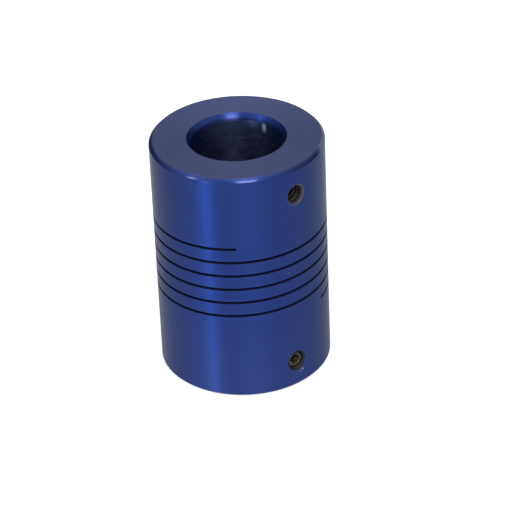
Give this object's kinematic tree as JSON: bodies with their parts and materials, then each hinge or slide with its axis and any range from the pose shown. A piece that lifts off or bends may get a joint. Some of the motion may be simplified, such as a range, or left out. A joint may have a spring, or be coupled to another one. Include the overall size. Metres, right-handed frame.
{
  "type": "helical beam coupling",
  "caption": "One-piece aluminium flexible shaft coupling: two bored hubs joined by a single-start helical beam, held to the shafts by a radial set screw in each hub.",
  "frame": {"origin": "centre of the coupling on its axis, half way between the two end faces", "axes": "+Z along the shaft axis towards the upper hub; both set screws face +X and -Y"},
  "size_m": [0.0254, 0.0254, 0.0368],
  "materials": {
    "anodised": "satin blue anodising over a turned surface",
    "screw_steel": "black oxide, worn at the socket and edges",
    "bare_aluminium": "as machined, in the two tapped holes, which were opened after anodising"
  },
  "bodies": {
    "lower_hub_body": {"lower_hub": "anodised"},
    "beam_5": {"beam_coil_5": "anodised"},
    "beam_4": {"beam_coil_4": "anodised"},
    "beam_3": {"beam_coil_3": "anodised"},
    "beam_2": {"beam_coil_2": "anodised"},
    "beam_1": {"beam_coil_1": "anodised"},
    "upper_hub_body": {"upper_hub": "anodised"},
    "upper_screw": {"upper_set_screw": "screw_steel"},
    "lower_screw": {"lower_set_screw": "screw_steel"}
  },
  "joints": [
    {"name": "lower_bend_x", "type": "hinge", "parent": "lower_hub_body", "child": "beam_5", "pos_m": [0, 0, -0.00474], "axis": [1, 0, 0], "range_deg": [-1.5, 1.5], "stiffness_Nm_per_rad": 0.05},
    {"name": "wind_up", "type": "hinge", "parent": "beam_5", "child": "beam_4", "pos_m": [0, 0, -0.00361], "axis": [0, 0, 1], "range_deg": [-1, 1], "stiffness_Nm_per_rad": 0.1},
    {"name": "lower_bend_y", "type": "hinge", "parent": "beam_4", "child": "beam_3", "pos_m": [0, 0, -0.00193], "axis": [0, 1, 0], "range_deg": [-1.5, 1.5], "stiffness_Nm_per_rad": 0.05},
    {"name": "axial_flex", "type": "slide", "parent": "beam_3", "child": "beam_2", "axis": [0, 0, 1], "range_m": [-0.00025, 0.00025], "stiffness_N_per_m": 2000},
    {"name": "upper_bend_y", "type": "hinge", "parent": "beam_2", "child": "beam_1", "pos_m": [0, 0, 0.00257], "axis": [0, 1, 0], "range_deg": [-1.5, 1.5], "stiffness_Nm_per_rad": 0.05},
    {"name": "upper_bend_x", "type": "hinge", "parent": "beam_1", "child": "upper_hub_body", "pos_m": [0, 0, 0.00539], "axis": [1, 0, 0], "range_deg": [-1.5, 1.5], "stiffness_Nm_per_rad": 0.05},
    {"name": "upper_screw_slide", "type": "slide", "parent": "upper_hub_body", "child": "upper_screw", "axis": [0.632, -0.7749, 0], "range_m": [-0.0003, 0.003]},
    {"name": "lower_screw_slide", "type": "slide", "parent": "lower_hub_body", "child": "lower_screw", "axis": [0.5793, -0.8151, 0], "range_m": [-0.0014, 0.003]}
  ]
}
